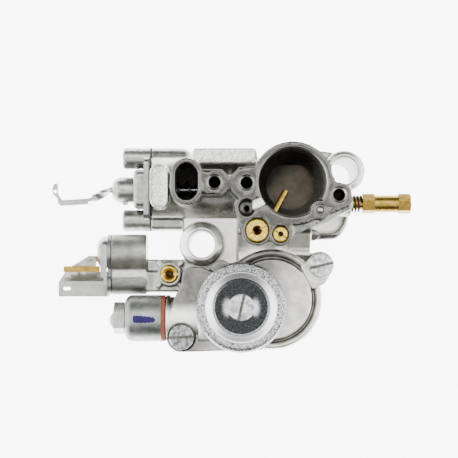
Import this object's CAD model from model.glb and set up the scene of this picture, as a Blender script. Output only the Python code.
from math import radians, cos, sin

import bpy
import numpy as np
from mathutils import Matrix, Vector
from mathutils.bvhtree import BVHTree

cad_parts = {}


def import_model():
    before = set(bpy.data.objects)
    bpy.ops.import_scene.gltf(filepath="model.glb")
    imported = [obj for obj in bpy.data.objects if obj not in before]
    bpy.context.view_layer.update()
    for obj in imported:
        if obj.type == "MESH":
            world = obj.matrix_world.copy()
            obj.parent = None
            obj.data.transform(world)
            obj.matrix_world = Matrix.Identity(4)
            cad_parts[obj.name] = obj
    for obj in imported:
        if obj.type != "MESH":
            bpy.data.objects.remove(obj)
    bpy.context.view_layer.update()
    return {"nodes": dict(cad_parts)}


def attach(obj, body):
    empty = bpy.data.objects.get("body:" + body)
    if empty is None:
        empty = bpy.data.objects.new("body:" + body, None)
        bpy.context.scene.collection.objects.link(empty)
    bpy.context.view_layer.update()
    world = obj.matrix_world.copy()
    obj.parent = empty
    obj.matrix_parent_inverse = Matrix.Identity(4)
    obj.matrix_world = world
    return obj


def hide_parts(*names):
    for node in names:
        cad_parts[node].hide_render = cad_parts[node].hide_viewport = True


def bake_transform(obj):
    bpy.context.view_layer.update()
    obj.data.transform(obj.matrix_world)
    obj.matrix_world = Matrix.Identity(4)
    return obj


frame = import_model()
nodes = frame["nodes"]
MM = 0.001

# places in millimetres, as in the CAD part; a box is its low corner and its high corner
DECK = 46.0                                          # machined filter face
THROAT_R = 13.5
RECESS = (-18.5, -10.2)                              # air recess beside the throat
RECESS_R = 3.4
CHANNEL = ((-16.0, -11.0, 42.0), (-11.0, -5.5, DECK - 0.4))   # from the recess to the throat
HOLES = ((-31.4, 0.0), (-18.5, -0.2), (18.6, -5.0))  # drilled in the filter face
HOLE_R = 2.5
CORRECTOR = (-14.3, -19.3)
IDLE = (-4.9, -20.8)
STARTER = (-50.0, -36.9)
PAD = ((-59.0, -11.0, 33.6), (-50.0, 9.5, 36.0))     # oval pad on the slide box
PAD_CENTRE = (-54.35, -0.8)
PANEL = ((-41.0, 3.8, 36.0), (-13.5, 16.0, 39.5))    # raised panel beside the throat
PLATFORM = ((-44.0, -36.5, 19.0), (8.6, -13.6, 27.5))
FLANGE_FLOOR = ((9.0, -20.2, 16.0), (23.0, -6.0, 19.5))
FLANGE_EDGE = ((8.0, -23.5, 10.0), (25.0, -20.3, 22.5))
JET_SLOPES = (((-22.0, -30.0, 27.0), (-1.0, -20.5, 40.0)), ((-1.0, -27.5, 24.0), (8.6, -20.2, 41.0)))
FACE_SLOPE = ((-1.0, -20.2, 24.0), (8.6, -14.0, DECK - 0.6))
STUD_LEFT = (-36.9, -24.6)
STUD_LEFT_TOP = 34.0
STUD_RIGHT = (21.1, 4.9)
STUD_RIGHT_TOP = 42.0
STUD_REACH = 9.6
STARTER_ARM = ((-57.0, -43.0, 18.0), (-44.0, -30.0, 34.0))
CHOKE_FACE = -59.9                                   # x where the two raw choke barrels start
SMALL_BARREL = -39.5                                 # y under which the small barrel lies
BARREL_CROWN = ((-80.0, -38.6, 10.0), (-59.0, -35.2, 40.0))
SLIDE = (-1.3, 14.0)                                 # y and z of the slide's axis
SLIDE_HALF = (12.0, 6.3)                             # half width and half height of its way
WINDOW = ((-45.7, -7.3, SLIDE[1]), (-39.7, 7.9, DECK - 0.6))
LID_JOINT = 33.0                                     # lower face of the bowl cover
LID_TOP = 38.0                                       # its plateau
LID_SLOPE = ((-54.0, -61.0, 31.0), (-35.0, -50.5, 44.0))
BOWL = (-8.2, -47.1)
CHAMBER_R = 17.6                                     # float chamber
CHAMBER_FLOOR = 2.0
GROOVE_R = (16.2, 17.9)                              # groove round the bowl cover's plateau
CAP = (-20.7, -50.15)
CAP_SEAT_R = 15.0
DISH_R = 11.6                                        # mirror dish of the filter cap
GRAIN_R = (14.3, 18.0)                               # its stippled ring
CAP_RIM_R = 18.6
CUP = (-54.9, 32.0)                                  # y and z of the fuel cup's axis
CUP_R = 9.47
JET_SEATS = ((CORRECTOR, 4.9), (IDLE, 3.6), (STARTER, 7.6))    # centre, radius of the milled seat
JET_SLOTS = ((CORRECTOR, 22), (IDLE, -33))           # centre, slot angle
JET_CONES = ((CORRECTOR, 2.1), (STARTER, 1.5))       # centre, radius of the dark countersink
JET_REACH = 5.2                                      # radius that holds a whole slot
SEATS_FROM = 29.0                                    # seats and holes are machined above this height
# screw heads with a slot: centre, top, slot angle, slot width, slot depth
RIGHT_SCREW = ((11.7, -33.3), 43.1, 13, 1.1, 1.5)
LEFT_SCREW = ((-44.8, -62.3), 40.7, 2, 1.1, 1.5)
CAP_SCREW = (CAP, 50.3, 77, 1.15, 1.4)
SCREW_REACH = 5.6                                    # radius that holds a whole slot


# ------------------------------------------------------------------ shader helpers
class Shader:
    """Adds and joins the nodes of one node tree."""

    def __init__(self, tree):
        self.tree = tree

    def node(self, kind, **settings):
        made = self.tree.nodes.new("ShaderNode" + kind)
        for key, value in settings.items():
            setattr(made, key, value)
        return made

    def join(self, source, target):
        """Link a socket, or set the target's value."""
        if hasattr(source, "is_output"):
            self.tree.links.new(source, target)
        elif isinstance(source, tuple) and len(target.default_value) == 4:
            target.default_value = (*source, 1.0)
        else:
            target.default_value = source

    def math(self, kind, a, b=0.0):
        made = self.node("Math", operation=kind)
        self.join(a, made.inputs[0])
        self.join(b, made.inputs[1])
        return made.outputs[0]

    def ramp(self, value, low, high, out_low=0.0, out_high=1.0):
        """Smooth step from out_low at low to out_high at high."""
        made = self.node("MapRange", interpolation_type="SMOOTHSTEP")
        for source, target in zip((value, low, high, out_low, out_high), made.inputs):
            self.join(source, target)
        return made.outputs[0]

    def both(self, *masks):
        total = masks[0]
        for mask in masks[1:]:
            total = self.math("MULTIPLY", total, mask)
        return total

    def either(self, *masks):
        total = masks[0]
        for mask in masks[1:]:
            total = self.math("MAXIMUM", total, mask)
        return total


class Paint(Shader):
    """Builds one procedural metal or paint; every length is in millimetres."""

    def __init__(self, name, metallic=1.0):
        self.mat = bpy.data.materials.new(name)
        self.mat.use_nodes = True
        super().__init__(self.mat.node_tree)
        self.tree.nodes.clear()
        out = self.node("OutputMaterial")
        self.bsdf = self.node("BsdfPrincipled")
        self.bsdf.inputs["Metallic"].default_value = metallic
        self.join(self.bsdf.outputs[0], out.inputs["Surface"])
        scale = self.node("VectorMath", operation="SCALE")
        scale.inputs["Scale"].default_value = 1 / MM
        self.join(self.node("TexCoord").outputs["Object"], scale.inputs[0])
        self.place = scale.outputs[0]
        split = self.node("SeparateXYZ")
        self.join(self.place, split.inputs[0])
        self.x, self.y, self.z = split.outputs
        self.tone = None
        self.gloss = None
        self.normal = None

    def mix(self, factor, a, b):
        made = self.node("Mix", data_type="RGBA")
        for source, target in ((factor, 0), (a, 6), (b, 7)):
            self.join(source, made.inputs[target])
        return made.outputs[2]

    def noise(self, size, detail=3.0, stretch=(1, 1, 1), turn=0.0):
        """Noise whose features are about `size` across; turn is in radians about Z."""
        mapping = self.node("Mapping")
        mapping.inputs["Scale"].default_value = stretch
        mapping.inputs["Rotation"].default_value = (0, 0, turn)
        self.join(self.place, mapping.inputs["Vector"])
        made = self.node("TexNoise")
        made.inputs["Scale"].default_value = 1 / size
        made.inputs["Detail"].default_value = detail
        self.join(mapping.outputs[0], made.inputs["Vector"])
        return made.outputs["Fac"]

    def radial(self, centre):
        """Distance from a vertical line."""
        across = self.math("SUBTRACT", self.x, centre[0])
        along = self.math("SUBTRACT", self.y, centre[1])
        squares = self.math("MULTIPLY", across, across), self.math("MULTIPLY", along, along)
        return self.math("SQRT", self.math("ADD", *squares))

    def off_line(self, spot, turn):
        """Distance in plan from a line through spot, turned by so many degrees from X."""
        across = self.math("MULTIPLY", self.math("SUBTRACT", self.x, spot[0]), -sin(radians(turn)))
        along = self.math("MULTIPLY", self.math("SUBTRACT", self.y, spot[1]), cos(radians(turn)))
        return self.math("ABSOLUTE", self.math("ADD", across, along))

    def below(self, value, limit, soft=0.2):
        return self.ramp(value, limit - soft, limit + soft, 1.0, 0.0)

    def above(self, value, limit, soft=0.2):
        return self.ramp(value, limit - soft, limit + soft)

    def box(self, low, high, soft=0.2):
        """Mask that is 1 inside a box."""
        sides = []
        for value, a, b in zip((self.x, self.y, self.z), low, high):
            sides.append(self.above(value, a, soft))
            sides.append(self.below(value, b, soft))
        return self.both(*sides)

    def start(self, dark, light, cloud, rough_low, rough_high, rough_by):
        """Tone from dark to light by one noise, roughness from low to high by another."""
        self.tone = self.mix(self.ramp(cloud, 0.3, 0.7), dark, light)
        self.gloss = self.ramp(rough_by, 0.3, 0.7, rough_low, rough_high)

    def zone(self, mask, dark, light, cloud, rough):
        """Another tone and polish where mask is 1."""
        self.tone = self.mix(mask, self.tone, self.mix(self.ramp(cloud, 0.3, 0.7), dark, light))
        kept = self.math("MULTIPLY", self.gloss, self.math("SUBTRACT", 1.0, mask))
        self.gloss = self.math("ADD", kept, self.math("MULTIPLY", mask, rough))

    def bump(self, value, depth):
        made = self.node("Bump")
        made.inputs["Distance"].default_value = depth * MM
        self.join(value, made.inputs["Height"])
        if self.normal is not None:
            self.join(self.normal, made.inputs["Normal"])
        self.normal = made.outputs[0]

    def done(self):
        self.join(self.tone, self.bsdf.inputs["Base Color"])
        self.join(self.gloss, self.bsdf.inputs["Roughness"])
        if self.normal is not None:
            self.join(self.normal, self.bsdf.inputs["Normal"])
        return self.mat


def metal(name, dark, light, rough, lump=3.0, lump_depth=0.03, grain=0.4, grain_depth=0.006, spread=0.08):
    """Metal with a cloudy tone, uneven polish, soft lumps and a fine grain."""
    p = Paint(name)
    cloud = p.noise(lump)
    fine = p.noise(grain)
    p.start(dark, light, cloud, rough - spread, rough + spread, fine)
    p.bump(p.noise(lump, 0.0), lump_depth)
    p.bump(p.noise(grain, 0.0), grain_depth)
    return p.done()


def stain(name, dark, light, rough, size):
    """Dull stuff that isn't metal."""
    p = Paint(name, 0.0)
    cloud = p.noise(size, 4.0)
    p.start(dark, light, cloud, rough - 0.08, rough + 0.08, cloud)
    p.bsdf.inputs["Specular IOR Level"].default_value = 0.2
    p.bump(p.noise(size * 0.2), 0.02)
    return p.done()


# ------------------------------------------------------------------ materials
def outside_zones(p, cloud):
    """Where tumbling polished the casting, and where it stayed dull."""
    shining = PLATFORM, FLANGE_FLOOR, *JET_SLOPES
    polished = p.either(*[p.box(*corners, 0.5) for corners in shining])
    p.zone(polished, (0.80, 0.79, 0.74), (0.97, 0.96, 0.91), cloud, 0.46)
    tumbled = p.either(p.box(*PANEL, 0.4), p.box(*PAD, 0.4))
    p.zone(tumbled, (0.46, 0.46, 0.43), (0.88, 0.87, 0.82), p.noise(0.8, 2.0), 0.42)
    # the left stud shines on its left flank only
    left_stud = p.both(p.below(p.radial(STUD_LEFT), STUD_REACH), p.above(p.z, STUD_LEFT_TOP - 3.0, 1.0))
    p.zone(left_stud, (0.34, 0.34, 0.32), (0.50, 0.50, 0.475), cloud, 0.34)
    left_flank = p.ramp(p.x, STUD_LEFT[0] - 1.0, STUD_LEFT[0] - 6.0)
    p.zone(p.both(left_stud, left_flank), (0.82, 0.82, 0.78), (0.97, 0.97, 0.93), cloud, 0.32)
    right_stud = p.both(p.below(p.radial(STUD_RIGHT), STUD_REACH), p.above(p.z, STUD_RIGHT_TOP - 3.5, 1.5))
    p.zone(right_stud, (0.48, 0.48, 0.45), (0.70, 0.70, 0.67), cloud, 0.32)
    p.zone(p.box(*STARTER_ARM, 0.4), (0.34, 0.34, 0.32), (0.56, 0.56, 0.53), cloud, 0.42)
    recess = p.both(p.below(p.radial(RECESS), RECESS_R), p.below(p.z, DECK - 0.5))
    dull = p.either(recess, p.box(*FACE_SLOPE, 0.5), p.box(*FLANGE_EDGE, 0.5))
    p.zone(dull, (0.055, 0.055, 0.05), (0.09, 0.09, 0.082), cloud, 0.4)
    p.zone(p.box(*CHANNEL, 0.3), (0.90, 0.89, 0.86), (0.98, 0.97, 0.94), cloud, 0.5)


def machined_face(p):
    """Filter face, with faint cutter marks."""
    cutter = p.noise(0.7, 3.0, (1, 9, 1), radians(35))
    p.zone(p.above(p.z, DECK - 0.25, 0.1), (0.099, 0.097, 0.087), (0.139, 0.137, 0.124), cutter, 0.24)


def choke_barrels(p, cloud):
    """Raw barrels, the small one darker below and paler along its crown."""
    streak = p.noise(0.9, 4.0, (0.2, 1, 1))
    barrels = p.below(p.x, CHOKE_FACE)
    p.zone(barrels, (0.19, 0.19, 0.168), (0.33, 0.33, 0.297), cloud, 0.46)
    small = p.both(barrels, p.below(p.y, SMALL_BARREL, 1.6))
    p.zone(small, (0.11, 0.11, 0.10), (0.17, 0.17, 0.155), streak, 0.44)
    crown = p.both(barrels, p.box(*BARREL_CROWN, 1.0))
    p.zone(crown, (0.42, 0.42, 0.39), (0.66, 0.66, 0.62), streak, 0.42)


def inside_zones(p, cloud):
    """Stained throat, paler to the right, and the insides that no light reaches."""
    throat = p.both(p.below(p.radial((0, 0)), THROAT_R + 0.5), p.below(p.z, DECK - 0.4))
    p.zone(throat, (0.046, 0.044, 0.037), (0.079, 0.076, 0.066), cloud, 0.42)
    to_right = p.ramp(p.math("SUBTRACT", p.x, p.y), -6.0, 16.0)
    p.zone(p.both(throat, to_right), (0.414, 0.405, 0.369), (0.558, 0.549, 0.504), cloud, 0.45)
    low = (-61.0, SLIDE[0] - SLIDE_HALF[0], SLIDE[1] - SLIDE_HALF[1])
    high = (16.0, SLIDE[0] + SLIDE_HALF[0], SLIDE[1] + SLIDE_HALF[1])
    drilled = [p.both(p.below(p.radial(spot), HOLE_R), p.below(p.z, DECK - 0.9)) for spot in HOLES]
    unlit = p.either(p.box(low, high), p.box(*WINDOW), *drilled)
    p.zone(unlit, (0.012, 0.011, 0.010), (0.03, 0.028, 0.025), cloud, 0.5)


def cast_body():
    p = Paint("cast_body")
    cloud = p.noise(5.0, 4.0)
    p.start((0.26, 0.26, 0.237), (0.39, 0.39, 0.362), cloud, 0.27, 0.35, p.noise(0.6))
    outside_zones(p, cloud)
    machined_face(p)
    choke_barrels(p, cloud)
    inside_zones(p, cloud)
    for size, depth in ((6.0, 0.16), (2.0, 0.03), (0.6, 0.003)):
        p.bump(p.noise(size, 0.0), depth)
    return p.done()


def filter_cap():
    """Pressed and plated cap: stippled outer ring, bright slope and a mirror dish."""
    p = Paint("plated_cap")
    cloud = p.noise(3.0)
    stipple = p.noise(0.65, 2.0)
    p.start((0.90, 0.91, 0.91), (0.98, 0.99, 0.99), cloud, 0.26, 0.36, p.noise(0.3))
    r = p.radial(CAP)
    ring = p.both(p.above(r, GRAIN_R[0]), p.below(r, GRAIN_R[1]))
    p.zone(ring, (0.06, 0.062, 0.062), (0.54, 0.555, 0.55), stipple, 0.30)
    p.zone(p.above(r, CAP_RIM_R), (0.15, 0.15, 0.15), (0.24, 0.24, 0.24), cloud, 0.30)
    p.zone(p.below(r, DISH_R), (0.13, 0.14, 0.144), (0.29, 0.31, 0.32), stipple, 0.12)
    # two bright fans either side of the screw
    level = p.math("DIVIDE", p.math("SUBTRACT", p.x, CAP[0]), r)
    fan = p.both(p.ramp(p.math("ABSOLUTE", level), 0.72, 0.97), p.below(r, 7.0, 1.6))
    p.zone(fan, (0.60, 0.62, 0.62), (0.90, 0.92, 0.92), cloud, 0.34)
    p.bump(p.both(stipple, ring), 0.22)
    p.bump(p.ramp(r, DISH_R - 0.4, GRAIN_R[0]), 0.30)
    return p.done()


def bowl_cover():
    """Cover casting, paler towards its right end and down its left slope."""
    p = Paint("cover_casting")
    cloud = p.noise(4.0, 4.0)
    p.start((0.12, 0.118, 0.108), (0.20, 0.196, 0.18), cloud, 0.30, 0.38, p.noise(0.6))
    to_right = p.ramp(p.math("SUBTRACT", p.x, p.y), 20.0, 46.0)
    p.zone(to_right, (0.50, 0.49, 0.45), (0.74, 0.73, 0.68), cloud, 0.34)
    r = p.radial(BOWL)
    groove = p.both(p.above(r, GROOVE_R[0]), p.below(r, GROOVE_R[1]), p.below(p.z, LID_TOP - 0.15, 0.1))
    p.zone(groove, (0.106, 0.102, 0.092), (0.172, 0.168, 0.152), cloud, 0.35)
    p.zone(p.box(*LID_SLOPE, 3.0), (0.88, 0.87, 0.82), (0.98, 0.97, 0.92), cloud, 0.44)
    p.bump(p.noise(4.0, 0.0), 0.12)
    p.bump(p.noise(0.8, 0.0), 0.003)
    return p.done()


def throttle_metal():
    """Blackened slide, darkest at its upper left where fuel stains it."""
    p = Paint("slide_metal")
    cloud = p.noise(6.0)
    p.start((0.032, 0.027, 0.02), (0.063, 0.055, 0.042), cloud, 0.36, 0.44, cloud)
    stained = p.ramp(p.math("SUBTRACT", p.x, p.y), -2.0, -13.0)
    p.zone(stained, (0.009, 0.008, 0.007), (0.018, 0.016, 0.014), cloud, 0.45)
    p.bump(p.noise(6.0, 0.0), 0.02)
    return p.done()


def drawn_zinc():
    """Zinc plate whose polish varies in faint streaks along X."""
    p = Paint("zinc_plate")
    streak = p.noise(0.8, 3.0, (0.12, 1, 1))
    p.start((0.21, 0.22, 0.21), (0.31, 0.32, 0.31), p.noise(3.0), 0.36, 0.44, streak)
    p.bump(p.noise(4.0, 0.0), 0.02)
    return p.done()


def slotted_steel():
    """Plated screw heads, with dirt in their slots."""
    p = Paint("screw_steel")
    cloud = p.noise(1.6)
    p.start((0.26, 0.264, 0.26), (0.72, 0.73, 0.72), cloud, 0.28, 0.38, p.noise(0.5))
    left_head = p.below(p.radial(LEFT_SCREW[0]), 6.5)
    p.zone(left_head, (0.12, 0.122, 0.12), (0.50, 0.51, 0.50), p.noise(1.3, 2.0), 0.26)
    for spot, top, turn, width, depth in (RIGHT_SCREW, LEFT_SCREW, CAP_SCREW):
        deep = p.both(p.above(p.z, top - depth - 0.1, 0.05), p.below(p.z, top - 0.25, 0.1))
        line = p.below(p.off_line(spot, turn), width / 2 + 0.1, 0.05)
        slot = p.both(p.below(p.radial(spot), SCREW_REACH), deep, line)
        p.zone(slot, (0.09, 0.09, 0.081), (0.18, 0.18, 0.162), cloud, 0.5)
    p.bump(p.noise(1.6, 0.0), 0.09)
    return p.done()


def jet_brass():
    """Jets: pale gold faces, brown cones and a thin screwdriver slot."""
    p = Paint("jet_brass")
    cloud = p.noise(1.2)
    p.start((0.50, 0.34, 0.045), (0.95, 0.76, 0.19), cloud, 0.26, 0.34, p.noise(0.4))
    for spot, turn in JET_SLOTS:
        slot = p.both(p.below(p.radial(spot), JET_REACH), p.below(p.off_line(spot, turn), 0.16, 0.08))
        p.zone(slot, (0.10, 0.055, 0.012), (0.17, 0.10, 0.025), cloud, 0.5)
    cones = p.either(*[p.below(p.radial(spot), radius) for spot, radius in JET_CONES])
    p.zone(cones, (0.26, 0.13, 0.016), (0.48, 0.28, 0.05), cloud, 0.36)
    p.bump(p.noise(1.2, 0.0), 0.05)
    return p.done()


MATERIALS = {
    "cast_body": cast_body(),
    "lid": bowl_cover(),
    "cover": metal("cover_metal", (0.27, 0.27, 0.255), (0.40, 0.40, 0.385), 0.32,
                   lump=2.5, lump_depth=0.04, grain=0.6, grain_depth=0.002, spread=0.05),
    "gasket": stain("gasket_board", (0.048, 0.048, 0.044), (0.104, 0.104, 0.096), 0.7, 3.0),
    "zinc": drawn_zinc(),
    "screw": slotted_steel(),
    "sheet": metal("sheet_steel", (0.32, 0.32, 0.305), (0.40, 0.40, 0.385), 0.46,
                   lump_depth=0.01, grain=0.5, grain_depth=0.001, spread=0.05),
    "slide": throttle_metal(),
    "spring": metal("spring_wire", (0.145, 0.145, 0.139), (0.224, 0.224, 0.218), 0.30),
    "bright": metal("bright_steel", (0.33, 0.33, 0.32), (0.44, 0.44, 0.43), 0.28,
                    lump_depth=0.02, grain_depth=0.002),
    "brass": metal("turned_brass", (0.27, 0.17, 0.030), (0.40, 0.27, 0.06), 0.30,
                   lump=2.0, lump_depth=0.008, grain_depth=0.001, spread=0.05),
    "jet": jet_brass(),
    "dull_brass": metal("dull_brass", (0.03, 0.021, 0.011), (0.06, 0.045, 0.024), 0.38),
    "fibre": stain("fibre_washer", (0.132, 0.036, 0.02), (0.218, 0.073, 0.04), 0.7, 1.0),
    "plastic": stain("moulded_plastic", (0.496, 0.488, 0.44), (0.576, 0.568, 0.528), 0.45, 4.0),
    "cap": filter_cap(),
    "paint": stain("marking_paint", (0.007, 0.003, 0.05), (0.017, 0.009, 0.088), 0.50, 1.5),
}

# the material of each CAD node
FINISH = {
    "main_body": "cast_body",
    "slide_cover": "cover",
    "slide_cover_gasket": "gasket",
    "slide_cover_screws": "cover",
    "slide_cover_washers": "cover",
    "throttle_slide": "slide",
    "throttle_rod": "bright",
    "throttle_spring": "spring",
    "float_cover": "lid",
    "float_cover_gasket": "gasket",
    "float_cover_screws": "screw",
    "filter_cap": "cap",
    "filter_cap_screw": "screw",
    "fuel_filter": "plastic",
    "inlet_needle_seat": "brass",
    "inlet_needle": "brass",
    "float": "plastic",
    "float_pin": "spring",
    "fuel_inlet_cup": "zinc",
    "fuel_inlet_bolt": "bright",
    "fuel_inlet_washer": "fibre",
    "air_corrector_jet": "jet",
    "idle_jet": "jet",
    "starter_jet": "jet",
    "discharge_nozzle": "brass",
    "ball_plug": "bright",
    "choke_cover": "zinc",
    "choke_cap": "bright",
    "choke_bracket": "sheet",
    "choke_pull_strip": "brass",
    "choke_pull_plate": "bright",
    "choke_rivet": "brass",
    "choke_plunger": "brass",
    "choke_spring": "spring",
    "mixture_screw": "brass",
    "mixture_spring": "dull_brass",
}


def finish(obj, key):
    obj.data.materials.clear()
    obj.data.materials.append(MATERIALS[key])


for node, key in FINISH.items():
    finish(nodes[node], key)


# ------------------------------------------------------------------ geometry helpers
def new_object(name, data):
    obj = bpy.data.objects.new(name, data)
    bpy.context.scene.collection.objects.link(obj)
    return obj


def baked(obj):
    """The object's mesh with its modifiers applied."""
    evaluated = obj.evaluated_get(bpy.context.evaluated_depsgraph_get())
    return bpy.data.meshes.new_from_object(evaluated)


def vertex_array(mesh):
    """The mesh's points, one in each row."""
    flat = np.empty(len(mesh.vertices) * 3)
    mesh.vertices.foreach_get("co", flat)
    return flat.reshape(-1, 3)


def relax(points, edges, weight, rounds):
    """Pull every point towards the mean of its neighbours, as far as its weight lets it."""
    count = len(points)
    ends = np.concatenate((edges[:, 0], edges[:, 1]))
    others = np.concatenate((edges[:, 1], edges[:, 0]))
    degree = np.maximum(np.bincount(ends, minlength=count), 1)[:, None]
    for _ in range(rounds):
        sums = [np.bincount(ends, weights=points[others, k], minlength=count) for k in range(3)]
        points = points + (np.stack(sums, 1) / degree - points) * weight[:, None] * 0.5
    return points


def as_cast(node, name, hold, voxel, rounds, faces):
    """
    The visible piece of one CAD casting, its edges softened as a casting's are.

    hold(x, y, z) is 1 where the surface stays machined, voxel is the grid in millimetres,
    rounds is how often the surface is relaxed, and faces is how many triangles are left.
    """
    source = nodes[node]
    work = new_object(name, source.data.copy())
    work.matrix_world = source.matrix_world
    even = work.modifiers.new("even", "REMESH")
    even.mode = "VOXEL"
    even.voxel_size = voxel * MM
    mesh = baked(work)
    surface = BVHTree.FromObject(source, bpy.context.evaluated_depsgraph_get())
    points = vertex_array(mesh)
    points = np.array([surface.find_nearest(Vector(p))[0] for p in points])
    flat = np.empty(len(mesh.edges) * 2, dtype=np.int64)
    mesh.edges.foreach_get("vertices", flat)
    weight = 1.0 - np.clip(hold(*(points / MM).T), 0.0, 1.0)
    points = relax(points, flat.reshape(-1, 2), weight, rounds)
    mesh.vertices.foreach_set("co", points.ravel())
    mesh.polygons.foreach_set("use_smooth", [True] * len(mesh.polygons))
    work.modifiers.clear()
    work.data = mesh
    thin = work.modifiers.new("thin", "DECIMATE")
    thin.ratio = min(1.0, faces / (2 * len(mesh.polygons)))
    work.data = baked(work)
    work.modifiers.clear()
    finish(work, FINISH[node])
    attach(work, "body")
    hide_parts(node)


# ------------------------------------------------------------------ castings
def near(x, y, spot, reach, soft=0.8):
    """1 within reach of a vertical line, falling to 0 a little outside it."""
    return (reach + soft - np.hypot(x - spot[0], y - spot[1])) / soft


def inside(x, y, z, box, margin):
    """True inside a box and within a margin of it."""
    spans = zip((x, y, z), *box)
    return np.all([(value > low - margin) & (value < high + margin) for value, low, high in spans], axis=0)


def machined_body(x, y, z):
    """1 on the filter face, round bores and jet seats, on the oval pad and inside the hollows."""
    keep = (z - (DECK - 2.4)) / 0.8
    keep = np.maximum(keep, near(x, y, (0, 0), THROAT_R + 0.6))
    for spot, reach in (*JET_SEATS, *((hole, HOLE_R + 0.7) for hole in HOLES)):
        keep = np.maximum(keep, near(x, y, spot, reach) * (z > SEATS_FROM))
    # the pad is longer in y, so y is squashed to make it round
    squash = 0.4
    pad = near(x, y * squash, (PAD_CENTRE[0], PAD_CENTRE[1] * squash), 4.0)
    keep = np.maximum(keep, pad * (z > PAD[0][2]))
    wide = np.abs(y - SLIDE[0]) < SLIDE_HALF[0] + 0.2
    high = np.abs(z - SLIDE[1]) < SLIDE_HALF[1] + 0.1
    slide_way = wide & high & (x > -59.0)
    chamber = (np.hypot(x - BOWL[0], y - BOWL[1]) < CHAMBER_R + 0.6) & (z > CHAMBER_FLOOR)
    hollow = slide_way | chamber | inside(x, y, z, WINDOW, 0.2)
    return np.where(hollow, 1.0, keep)


def machined_lid(x, y, z):
    """1 on the filter cap's seat and on everything that hangs below the joint face."""
    seat = near(x, y, CAP, CAP_SEAT_R) * (z > LID_JOINT - 3.0)
    return np.maximum(seat, (LID_JOINT - 0.4 - z) / 0.5)


as_cast("main_body", "body_casting", machined_body,
        voxel=0.42, rounds=8, faces=190000)
as_cast("float_cover", "bowl_cover_casting", machined_lid,
        voxel=0.32, rounds=5, faces=90000)


# ------------------------------------------------------------------ springs
def spring(node):
    """
    A copy of the CAD spring whose coils open and close.

    fixed_x is its end on the casting and moving_x its end on the body that moves, in millimetres.
    """
    copy = new_object(node + "_coils", nodes[node].data.copy())
    copy.matrix_world = nodes[node].matrix_world
    finish(copy, FINISH[node])
    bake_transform(copy)
    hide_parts(node)


spring("throttle_spring")
spring("choke_spring")
spring("mixture_spring")


# ------------------------------------------------------------------ paint mark on the fuel cup
MARK_X = (-64.4, -55.3)                              # the dab's left and right ends
MARK_COLUMNS = 26
MARK_ROWS = 10
MARK_LIFT = 0.05                                     # how far the paint stands out from the cup


def paint_mark():
    """Brushed dab that follows the round of the cup and tapers at its right end."""
    points = []
    for i in range(MARK_COLUMNS + 1):
        along = i / MARK_COLUMNS
        x = MARK_X[0] + (MARK_X[1] - MARK_X[0]) * along
        opening = min(1.0, along / 0.06 + 0.35)
        closing = min(1.0, (1.03 - along) / 0.10)
        taper = 1.0 - 0.45 * along ** 3
        ragged = 0.012 * sin(along * 37.0) + 0.008 * sin(along * 83.0 + 1.0)
        half_angle = 0.155 * opening * taper * closing + ragged
        for j in range(MARK_ROWS + 1):
            across = 2 * j / MARK_ROWS - 1
            angle = -0.01 - 0.035 * along + half_angle * across
            reach = CUP_R + MARK_LIFT * (1 - across ** 6)
            y = CUP[0] + reach * sin(angle)
            z = CUP[1] + reach * cos(angle)
            points.append((x * MM, y * MM, z * MM))
    step = MARK_ROWS + 1
    corners = [i * step + j for i in range(MARK_COLUMNS) for j in range(MARK_ROWS)]
    faces = [(k, k + step, k + step + 1, k + 1) for k in corners]
    mesh = bpy.data.meshes.new("paint_mark")
    mesh.from_pydata(points, [], faces)
    mesh.polygons.foreach_set("use_smooth", [True] * len(faces))
    mark = new_object("paint_mark", mesh)
    finish(mark, "paint")
    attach(mark, "body")


paint_mark()


# ------------------------------------------------------------------ floor, light and camera
FLOOR_HALF = 1.5                                     # metres
FLOOR_GLOW = (7.0, 0.12)                             # emission near the object and far from it
FLOOR_GLOW_R = (145.0, 270.0)                        # millimetres between which it fades
RING = 4.4                                           # radiance of the light ring overhead
SIDES = 4.6                                          # radiance of the bright left and right sides
BACK = 0.12                                          # radiance of the back wall
DIM = 0.06                                           # radiance everywhere
FRONT = 0.06                                         # share of the ring that is left in front
OPENING = 0.04                                       # share that is left straight overhead
LAMP_SIZE = 0.5                                      # metres
CENTRE = (-0.025, -0.02, 0.03)                       # where the lamps point, metres
LENS = 102.2
CAMERA_AT = (-0.0256, -0.0344, (DECK + 520.0) * MM)
CAMERA_TILT = 1.718                                  # degrees


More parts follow.
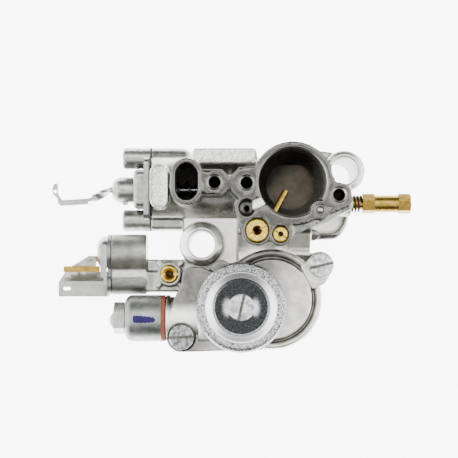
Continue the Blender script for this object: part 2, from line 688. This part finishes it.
def floor():
    """White floor, brightest round the object."""
    mesh = bpy.data.meshes.new("floor")
    signs = (-1, -1), (1, -1), (1, 1), (-1, 1)
    mesh.from_pydata([(x * FLOOR_HALF, y * FLOOR_HALF, 0) for x, y in signs], [], [(0, 1, 2, 3)])
    obj = new_object("floor", mesh)
    p = Paint("floor_white", 0.0)
    p.tone = (0.8, 0.8, 0.8)
    p.gloss = 0.9
    p.done()
    p.join((1.0, 1.0, 1.0), p.bsdf.inputs["Emission Color"])
    p.join(p.ramp(p.radial((0, 0)), *FLOOR_GLOW_R, *FLOOR_GLOW), p.bsdf.inputs["Emission Strength"])
    mesh.materials.append(p.mat)
    # a hair under the object
    obj.location = (-0.03, -0.03, -0.0002)


def lamp(name, place, power):
    """Square area lamp that points at the object."""
    light = bpy.data.lights.new(name, "AREA")
    light.shape = "RECTANGLE"
    light.size = LAMP_SIZE
    light.size_y = LAMP_SIZE
    light.energy = power
    obj = new_object(name, light)
    obj.location = place
    obj.rotation_euler = (Vector(CENTRE) - Vector(place)).to_track_quat("-Z", "Y").to_euler()


def world():
    """
    Studio tent: a ring of light round a dark opening overhead, bright left and right, dim front.

    x, y and z are those of the unit direction that a ray looks in.
    """
    studio = bpy.data.worlds.new("studio")
    bpy.context.scene.world = studio
    studio.use_nodes = True
    s = Shader(studio.node_tree)
    split = s.node("SeparateXYZ")
    s.join(s.node("TexCoord").outputs["Generated"], split.inputs[0])
    x, y, z = split.outputs
    front = s.ramp(y, -0.75, 0.05, FRONT, 1.0)
    ring = s.both(s.ramp(z, 0.72, 0.88), s.ramp(z, 0.978, 0.996, 1.0, OPENING), front)
    sideways = s.ramp(s.math("ABSOLUTE", x), 0.45, 0.80)
    side = s.both(sideways, s.ramp(z, 0.92, 0.75), s.ramp(z, -0.10, 0.15))
    lit = s.math("ADD", s.math("MULTIPLY", ring, RING), s.math("MULTIPLY", side, SIDES))
    walls = s.math("ADD", s.ramp(y, 0.1, 0.8, 0.0, BACK), DIM)
    back = studio.node_tree.nodes["Background"]
    s.join(s.math("ADD", lit, walls), back.inputs["Color"])
    back.inputs["Strength"].default_value = 1.0


def camera():
    data = bpy.data.cameras.new("photo_camera")
    data.sensor_width = 36.0
    data.lens = LENS
    data.clip_start = 0.02
    obj = new_object("photo_camera", data)
    obj.location = CAMERA_AT
    obj.rotation_euler = (radians(CAMERA_TILT), 0, 0)
    bpy.context.scene.camera = obj


floor()
world()
lamp("key", (-0.45, 0.50, 0.55), power=0.6)
lamp("fill", (0.50, -0.35, 0.50), power=0.2)
camera()
